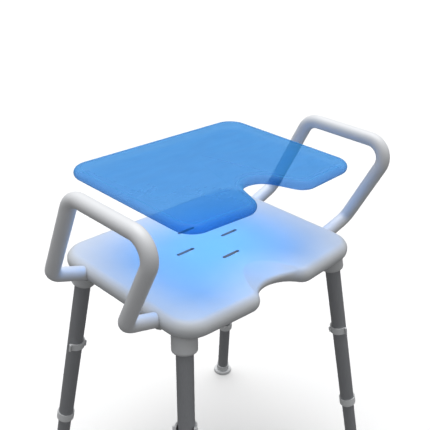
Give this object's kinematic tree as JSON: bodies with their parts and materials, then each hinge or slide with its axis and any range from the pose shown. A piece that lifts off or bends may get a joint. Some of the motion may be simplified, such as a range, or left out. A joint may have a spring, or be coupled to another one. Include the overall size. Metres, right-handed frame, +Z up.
{
  "type": "shower stool",
  "caption": "Height-adjustable shower stool: moulded seat with a front hygiene cut-out, two bent-tube armrests, splayed telescoping legs with spring clips, and a loose soft pad.",
  "frame": {"origin": "on the floor, under the middle of the stool", "axes": "+Z up; -Y towards the front, where the seat's cut-out is; +X to the right-hand side of someone in front who faces the stool"},
  "size_m": [0.568, 0.4744, 0.7496],
  "materials": {
    "seat_white": "moulded polypropylene, satin",
    "socket_grey": "moulded nylon, satin",
    "arm_white": "powder-coated aluminium tube, satin white",
    "leg_grey": "anodised or coated aluminium tube, dark grey satin",
    "clip_grey": "moulded acetal, satin grey",
    "foot_grey": "moulded grey rubber",
    "pad_blue": "soft translucent blue gel pad, satin skin",
    "screw_steel": "stainless steel"
  },
  "bodies": {
    "frame": {"seat_shell": "seat_white", "armrest_left": "arm_white", "armrest_right": "arm_white", "arm_clamp_front_left": "socket_grey", "arm_clamp_front_right": "socket_grey", "arm_clamp_rear_left": "socket_grey", "arm_clamp_rear_right": "socket_grey", "arm_screws": "screw_steel", "leg_socket_front_left": "socket_grey", "leg_socket_front_right": "socket_grey", "leg_socket_rear_left": "socket_grey", "leg_socket_rear_right": "socket_grey", "socket_bolts": "screw_steel", "tube_pins": "screw_steel", "outer_tube_front_left": "leg_grey", "outer_tube_front_right": "leg_grey", "outer_tube_rear_left": "leg_grey", "outer_tube_rear_right": "leg_grey", "end_collar_front_left": "clip_grey", "end_collar_front_right": "clip_grey", "end_collar_rear_left": "clip_grey", "end_collar_rear_right": "clip_grey"},
    "lower_leg_front_left": {"inner_tube_front_left": "leg_grey", "foot_front_left": "foot_grey"},
    "lower_leg_front_right": {"inner_tube_front_right": "leg_grey", "foot_front_right": "foot_grey"},
    "lower_leg_rear_left": {"inner_tube_rear_left": "leg_grey", "foot_rear_left": "foot_grey"},
    "lower_leg_rear_right": {"inner_tube_rear_right": "leg_grey", "foot_rear_right": "foot_grey"},
    "clip_front_left": {"leg_clip_front_left": "clip_grey"},
    "clip_front_right": {"leg_clip_front_right": "clip_grey"},
    "clip_rear_left": {"leg_clip_rear_left": "clip_grey"},
    "clip_rear_right": {"leg_clip_rear_right": "clip_grey"},
    "pad": {"seat_pad": "pad_blue"}
  },
  "joints": [
    {"name": "leg_extend_front_left", "type": "slide", "parent": "frame", "child": "lower_leg_front_left", "axis": [-0.1216, -0.153, -0.9807], "range_m": [-0.125, 0.025]},
    {"name": "leg_extend_front_right", "type": "slide", "parent": "frame", "child": "lower_leg_front_right", "axis": [0.1216, -0.153, -0.9807], "range_m": [-0.125, 0.025]},
    {"name": "leg_extend_rear_left", "type": "slide", "parent": "frame", "child": "lower_leg_rear_left", "axis": [-0.1216, 0.153, -0.9807], "range_m": [-0.125, 0.025]},
    {"name": "leg_extend_rear_right", "type": "slide", "parent": "frame", "child": "lower_leg_rear_right", "axis": [0.1216, 0.153, -0.9807], "range_m": [-0.125, 0.025]},
    {"name": "clip_pull_front_left", "type": "slide", "parent": "frame", "child": "clip_front_left", "axis": [0.808, 0.5586, -0.1873], "range_m": [0, 0.04]},
    {"name": "clip_pull_front_right", "type": "slide", "parent": "frame", "child": "clip_front_right", "axis": [-0.808, 0.5586, -0.1873], "range_m": [0, 0.04]},
    {"name": "clip_pull_rear_left", "type": "slide", "parent": "frame", "child": "clip_rear_left", "axis": [0.808, -0.5586, -0.1873], "range_m": [0, 0.04]},
    {"name": "clip_pull_rear_right", "type": "slide", "parent": "frame", "child": "clip_rear_right", "axis": [-0.808, -0.5586, -0.1873], "range_m": [0, 0.04]},
    {"name": "pad_lift", "type": "slide", "parent": "frame", "child": "pad", "axis": [0, 0, 1], "range_m": [-0.1405, 0.06]}
  ]
}
